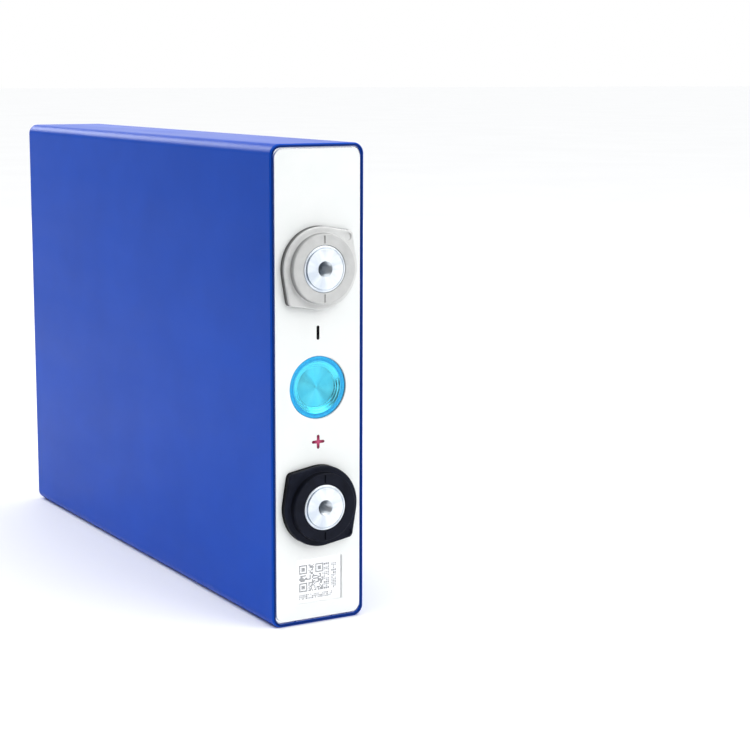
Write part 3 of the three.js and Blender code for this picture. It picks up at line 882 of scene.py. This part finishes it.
def make_label():
    """The white sheet, cut out round both terminals, the vent and the marked code."""
    width, height, thick = size_of("top_label")
    outline = rounded_rect(
        width - 2 * LABEL_GROOVE, height - 2 * LABEL_GROOVE, LABEL_RADIUS, steps=14)
    shell = Shell()
    edge = shell.stack(outline, [
        (0, -thick), *rounding(LABEL_LIP, -LABEL_LIP, -LABEL_LIP, 0, 90, 4)])
    openings = [
        (moved(flange_outline(look["lean"]), 0, terminal_y(name)), FLANGE_GAP)
        for name, look in TERMINALS.items()
    ]
    openings += [(circle(WINDOW_RADIUS), 0), (code_window(), 0)]
    tops, bottoms = [], []
    for opening, gap in openings:
        lip = rounding(-LABEL_LIP, gap + LABEL_LIP, -LABEL_LIP, -90, 0, 4)
        rings = shell.stack(opening, [*lip, (gap, -thick)])
        tops.append(rings[0])
        bottoms.append(rings[-1])
    shell.fill(edge[-1], tops)
    shell.fill(edge[0], bottoms)
    add_piece(
        "face_label", shell.mesh("face_label"), LABEL, replaces=["top_label"])


def bar_outline(length, stroke):
    """An upright bar with round ends."""
    reach = (length - stroke) / 2
    return [
        (0.0, reach, stroke / 2, 0.0, math.pi, 10),
        (0.0, -reach, stroke / 2, math.pi, 2 * math.pi, 10),
    ]


def cross_outline(length, stroke):
    """A plus sign with round arm ends, as arcs round the outline."""
    reach, half = (length - stroke) / 2, stroke / 2
    inner = half + PLUS_FILLET
    outline = []
    for i in range(4):
        turn = i * math.pi / 2
        outline.append((
            reach * math.cos(turn), reach * math.sin(turn), half,
            turn - math.pi / 2, turn + math.pi / 2, 8))
        corner = turn + math.pi / 4
        x, y = inner * math.sqrt(2) * math.cos(corner), inner * math.sqrt(2) * math.sin(corner)
        outline.append((x, y, PLUS_FILLET, turn - math.pi / 2, turn - math.pi, 4))
    return outline


def make_mark(name, outline, y, material):
    """A printed mark on the label, thin and with a soft edge."""
    shell = Shell()
    rings = shell.stack(
        outline, [(0, 0.0), (0, INK_THICKNESS / 2), (-INK_EDGE, INK_THICKNESS)])
    shell.fill(rings[0])
    shell.fill(rings[-1])
    place = MIDDLE @ Matrix.Translation((0, y * MM, 0))
    add_piece(name, shell.mesh(name), material, place)


make_label()
make_mark("minus_mark", bar_outline(MINUS["length"], MINUS["stroke"]), MINUS["y"], BLACK_INK)
make_mark("plus_mark", cross_outline(PLUS["length"], PLUS["stroke"]), PLUS["y"], RED_INK)

# ---------------------------------------------------------------- lid, code and vent

LID_RADIUS = 1.95
LID_LIP = 0.1
LID_BORE = 5.55
BORE_STEPS = 96
PORT = {"y": 15.45, "seat": 3.55, "depth": 0.6, "bore": 1.55}
VENT_STEPS = ((7.45, 6.85), (6.75, 6.15), (6.1, 5.78))  # outer and inner radius of each
VENT_STEP_DEPTH = 0.3
VENT_SEAT = {"radius": 5.75, "depth": 0.45}
VENT_BORE = 5.0
STEP_ROWS = 8  # rows of the mesh down one step
VENT_DISC = {"radius": 5.7, "round": 0.1, "rim": 0.4, "web": 0.15, "web_radius": 4.9}
VENT_SCORE = {"radius": 5.2, "half_width": 0.1, "depth": 0.03}
VENT_CENTRE = {"radius": 0.5, "rise": 0.12, "tip": 0.02, "rows": 5}
VENT_FILM = {"radius": 8.85, "crown": 0.06, "edge": 0.05, "tip": 0.05, "rows": 14}
MODULE = 0.371
MATRIX = {"x": -5.9, "y": -58.4, "count": 21, "finder": 7, "share": 0.5}
CODE_SEED = 7
CODE_COLUMNS = ({"x": 2.0, "width": 1.9}, {"x": 4.5, "width": 1.6})
CODE_ROW = {"y": -60.6, "height": 1.5, "width": 10.6}
DASH = {"share": 0.75, "parts": 3, "lengths": (1, 1, 2), "space": 0.16}
DASH_TALL, DASH_WIDE = 0.3, 0.26  # length of the shortest in a column and in the row
DASH_GAP_X, DASH_GAP_Y = 0.1, 0.08
BLOCK_GAP = 0.012
BLOCK_HEIGHTS = (0.001, 0.015)  # bottom and top, above the lid


def make_lid():
    """The lid, with its pole bores, filling port and the vent's pressed steps."""
    width, height, thick = size_of("cover_plate")
    top = height_of(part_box("cover_plate")[0].y)
    bottom = top - thick
    shell = Shell()
    edge = shell.stack(rounded_rect(width, height, LID_RADIUS, steps=8), [
        (0, bottom), *rounding(LID_LIP, -LID_LIP, top - LID_LIP, 0, 90, 3)])
    tops, bottoms = [], []

    def bore(x, y, profile):
        """A round opening, given as (radius, height) from the lid's top to its bottom."""
        rings = shell.stack(moved(circle(0, BORE_STEPS), x, y), profile)
        tops.append(rings[0])
        bottoms.append(rings[-1])

    for name in TERMINALS:
        bore(0, terminal_y(name), [(LID_BORE, top), (LID_BORE, bottom)])
    seat = top - PORT["depth"]
    bore(0, PORT["y"], [
        (PORT["seat"], top), (PORT["seat"], seat), (PORT["bore"], seat), (PORT["bore"], bottom)])
    profile = []
    level = top
    for outer, inner in VENT_STEPS:
        for i in range(STEP_ROWS + 1):
            turn = i / STEP_ROWS * math.pi
            sunk = (1 - math.cos(turn)) / 2 * VENT_STEP_DEPTH
            profile.append((outer + (inner - outer) * i / STEP_ROWS, level - sunk))
        level -= VENT_STEP_DEPTH
    seat = level - VENT_SEAT["depth"]
    profile += [
        (VENT_SEAT["radius"], level), (VENT_SEAT["radius"], seat),
        (VENT_BORE, seat), (VENT_BORE, bottom)]
    bore(0, 0, profile)
    shell.fill(edge[-1], tops)
    shell.fill(edge[0], bottoms)
    add_piece("lid", shell.mesh("lid"), LID_METAL, replaces=["cover_plate"])


def make_vent_disc():
    """Burst disc: thick rim, thin web, scored ring, and the small raised centre."""
    floor = height_of(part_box("vent_disc")[0].y)
    disc, score, centre = VENT_DISC, VENT_SCORE, VENT_CENTRE
    bump = []
    for i in range(centre["rows"] + 1):
        inward = i / centre["rows"]
        radius = centre["radius"] * (1 - inward) + centre["tip"]
        bump.append((radius, floor + centre["rise"] * math.sin(inward * math.pi / 2)))
    soft = disc["round"]
    shell = Shell()
    rings = shell.stack(circle(0), [
        (disc["web_radius"], floor - disc["web"]),
        (disc["web_radius"], floor - disc["rim"]),
        (disc["radius"], floor - disc["rim"]),
        *rounding(soft, disc["radius"] - soft, floor - soft, 0, 90, 3),
        (score["radius"] + score["half_width"], floor),
        (score["radius"], floor - score["depth"]),
        (score["radius"] - score["half_width"], floor),
        *bump,
    ])
    shell.fill(rings[0])
    shell.fill(rings[-1])
    add_piece(
        "vent_burst_disc", shell.mesh("vent_burst_disc"), VENT_METAL,
        replaces=["vent_disc"])


def make_vent_film():
    """A clear disc stuck over the vent, crowned a little where nothing holds it down."""
    low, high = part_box("vent_film")
    bottom, top = height_of(high.y), height_of(low.y)
    film = VENT_FILM

    def crowned(level):
        """Rings over the vent, from where the film is held down to its middle."""
        held, rows, tip = VENT_STEPS[0][0], film["rows"], film["tip"]
        radii = [held * (1 - i / rows) + tip for i in range(rows + 1)]
        return [(r, level + film["crown"] * (1 - (r / (held + tip)) ** 2)) for r in radii]

    shell = Shell()
    edge = film["edge"]
    outside = shell.stack(circle(0), [
        (film["radius"], bottom),
        *rounding(edge, film["radius"] - edge, top - edge, 0, 90, 4),
        *crowned(top),
    ])
    inside = shell.stack(circle(0), crowned(bottom))
    shell.wall(outside[0], inside[0])
    shell.fill(outside[-1])
    shell.fill(inside[-1])
    add_piece(
        "vent_cover_film", shell.mesh("vent_cover_film"), CLEAR_FILM,
        replaces=["vent_film"])


def finder_module(i, j):
    """True or False inside one of the three corner squares, and None elsewhere."""
    count, size = MATRIX["count"], MATRIX["finder"]
    for left, low in ((0, 0), (0, count - size), (count - size, count - size)):
        x, y = i - left, j - low
        if -1 <= x <= size and -1 <= y <= size:
            if not (0 <= x < size and 0 <= y < size):
                return False
            ring = min(x, y, size - 1 - x, size - 1 - y)
            return ring != 1
    return None


def code_blocks():
    """Rectangles (x, y, width, height) of a meaningless pattern in the style of a code."""
    draw = random.Random(CODE_SEED)
    count = MATRIX["count"]
    blocks = []
    for j in range(count):
        run = 0
        for i in range(count + 1):
            known = finder_module(i, j) if i < count else False
            dark = known if known is not None else draw.random() < MATRIX["share"]
            if dark:
                run += 1
            elif run:
                x = MATRIX["x"] + (i - run) * MODULE
                blocks.append((x, MATRIX["y"] + j * MODULE, run * MODULE, MODULE))
                run = 0
    parts = DASH["parts"]
    for column in CODE_COLUMNS:
        y = MATRIX["y"]
        while y < MATRIX["y"] + count * MODULE - MODULE:
            tall = draw.choice(DASH["lengths"]) * DASH_TALL
            for part in range(parts):
                if draw.random() < DASH["share"]:
                    x = column["x"] + part * column["width"] / parts
                    blocks.append((x, y, column["width"] / parts - DASH_GAP_X, tall))
            y += tall + DASH["space"]
    x = MATRIX["x"]
    while x < MATRIX["x"] + CODE_ROW["width"]:
        wide = draw.choice(DASH["lengths"]) * DASH_WIDE
        for part in range(parts):
            if draw.random() < DASH["share"]:
                y = CODE_ROW["y"] + part * CODE_ROW["height"] / parts
                blocks.append((x, y, wide, CODE_ROW["height"] / parts - DASH_GAP_Y))
        x += wide + DASH["space"]
    return blocks


def make_code():
    """The laser-marked blocks, each a thin raised patch on the lid."""
    top = height_of(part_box("cover_plate")[0].y)
    shell = Shell()
    gap = BLOCK_GAP
    for x, y, wide, tall in code_blocks():
        corners = [
            (x + gap, y + gap), (x + wide - gap, y + gap),
            (x + wide - gap, y + tall - gap), (x + gap, y + tall - gap)]
        rings = [shell.ring(corners, top + rise) for rise in BLOCK_HEIGHTS]
        shell.walls(rings)
        shell.bm.faces.new(rings[0])
        shell.bm.faces.new(rings[1])
    add_piece("code_mark", shell.mesh("code_mark"), CODE_INK)


make_lid()
make_vent_disc()
make_vent_film()
make_code()

# ---------------------------------------------------------------- camera, lights, floor

YAW, PITCH, ROLL = (math.radians(a) for a in (30.67, 9.47, 0.19))
LENS, SENSOR = 88.6, 36.0
FROM_LABEL_CORNER = Vector((-231.32, -443.89, 154.41))  # millimetres from its lowest corner
OVERHEAD_SPREAD = math.radians(100)
FLOOR_REACH = 12.0  # metres, as the card and the lights are
CARD = {"left": -1.2, "right": 0.1, "near": -0.6, "far": 0.37, "lift": 0.001}


def make_camera():
    """The camera, turned by yaw and pitch, then rolled about its own axis."""
    data = bpy.data.cameras.new("camera")
    data.lens = LENS
    data.sensor_width = SENSOR
    data.clip_start = 0.01
    data.clip_end = 50
    camera = bpy.data.objects.new("camera", data)
    bpy.context.scene.collection.objects.link(camera)
    ahead = Vector((
        math.sin(YAW) * math.cos(PITCH), math.cos(YAW) * math.cos(PITCH), -math.sin(PITCH)))
    level = Vector((math.cos(YAW), -math.sin(YAW), 0))
    upright = level.cross(ahead)
    right = math.cos(ROLL) * level + math.sin(ROLL) * upright
    up = math.cos(ROLL) * upright - math.sin(ROLL) * level
    turn = Matrix((right, up, -ahead)).transposed().to_4x4()
    camera.matrix_world = Matrix.Translation(
        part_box("top_label")[0] + FROM_LABEL_CORNER * MM) @ turn
    bpy.context.scene.camera = camera


def softbox(name, toward, distance, size, radiance, spread=180):
    """A rectangular light that faces the object from a direction; size is (width, height)."""
    width, height = size
    data = bpy.data.lights.new(name, "AREA")
    data.spread = math.radians(spread)
    data.shape = "RECTANGLE"
    data.size = width
    data.size_y = height
    data.energy = radiance * math.pi * width * height
    light = bpy.data.objects.new(name, data)
    bpy.context.scene.collection.objects.link(light)
    direction = Vector(toward).normalized()
    middle = (cad_box[0] + cad_box[1]) / 2
    light.matrix_world = Matrix.Translation(middle + direction * distance) @ (
        direction.to_track_quat("Z", "Y").to_matrix().to_4x4())
    light.visible_camera = False


def make_overhead(brightness):
    """Even light from above, wide enough for soft shadows; 1 makes a white floor white."""
    data = bpy.data.lights.new("overhead", "SUN")
    data.energy = brightness * math.pi
    data.angle = OVERHEAD_SPREAD
    light = bpy.data.objects.new("overhead", data)
    bpy.context.scene.collection.objects.link(light)


def make_floor():
    """A plain pale floor, larger than any view of it."""
    reach = FLOOR_REACH
    mesh = bpy.data.meshes.new("floor")
    corners = [(-reach, -reach, 0), (reach, -reach, 0), (reach, reach, 0), (-reach, reach, 0)]
    mesh.from_pydata(corners, [], [(0, 1, 2, 3)])
    mesh.materials.append(studio_floor())
    floor = bpy.data.objects.new("floor", mesh)
    bpy.context.scene.collection.objects.link(floor)


def make_card():
    """A dark grey card on the floor left of the camera: it darkens what faces front left."""
    ahead = Vector((math.sin(YAW), math.cos(YAW), 0))
    right = Vector((ahead.y, -ahead.x, 0))
    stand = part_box("top_label")[0] + FROM_LABEL_CORNER * MM
    middle = Vector((stand.x, stand.y, CARD["lift"]))
    sides = [
        (CARD["left"], CARD["near"]), (CARD["right"], CARD["near"]),
        (CARD["right"], CARD["far"]), (CARD["left"], CARD["far"])]
    mesh = bpy.data.meshes.new("black_card")
    mesh.from_pydata([middle + x * right + y * ahead for x, y in sides], [], [(0, 1, 2, 3)])
    mesh.materials.append(black_card())
    card = bpy.data.objects.new("black_card", mesh)
    bpy.context.scene.collection.objects.link(card)
    card.visible_camera = False
    card.visible_shadow = False


def make_world(surround):
    """A white backdrop for the camera, and a dimmer even surround for the lighting."""
    world = bpy.data.worlds.new("studio")
    bpy.context.scene.world = world
    world.use_nodes = True
    nodes, links = world.node_tree.nodes, world.node_tree.links
    dim = nodes["Background"]
    dim.inputs["Color"].default_value = (0.97, 0.985, 1, 1)
    dim.inputs["Strength"].default_value = surround
    white = nodes.new("ShaderNodeBackground")
    white.inputs["Color"].default_value = (1, 1, 1, 1)
    path = nodes.new("ShaderNodeLightPath")
    mix = nodes.new("ShaderNodeMixShader")
    links.new(path.outputs["Is Camera Ray"], mix.inputs["Fac"])
    links.new(dim.outputs["Background"], mix.inputs[1])
    links.new(white.outputs["Background"], mix.inputs[2])
    links.new(mix.outputs["Shader"], nodes["World Output"].inputs["Surface"])


make_camera()
make_floor()
make_card()
make_world(surround=0.22)
make_overhead(brightness=0.82)
softbox("key_light", (0.45, -0.7, 0.5), distance=1.3, size=(1.0, 1.0), radiance=2.3)
softbox("back_light", (0.52, 0.85, 0.28), distance=1.3, size=(1.0, 0.6), radiance=1.25)
softbox(
    "rim_light", (-0.2, 0.85, 0.42), distance=1.2, size=(0.6, 0.45), radiance=0.75, spread=50)
bpy.context.scene.view_settings.view_transform = "Standard"
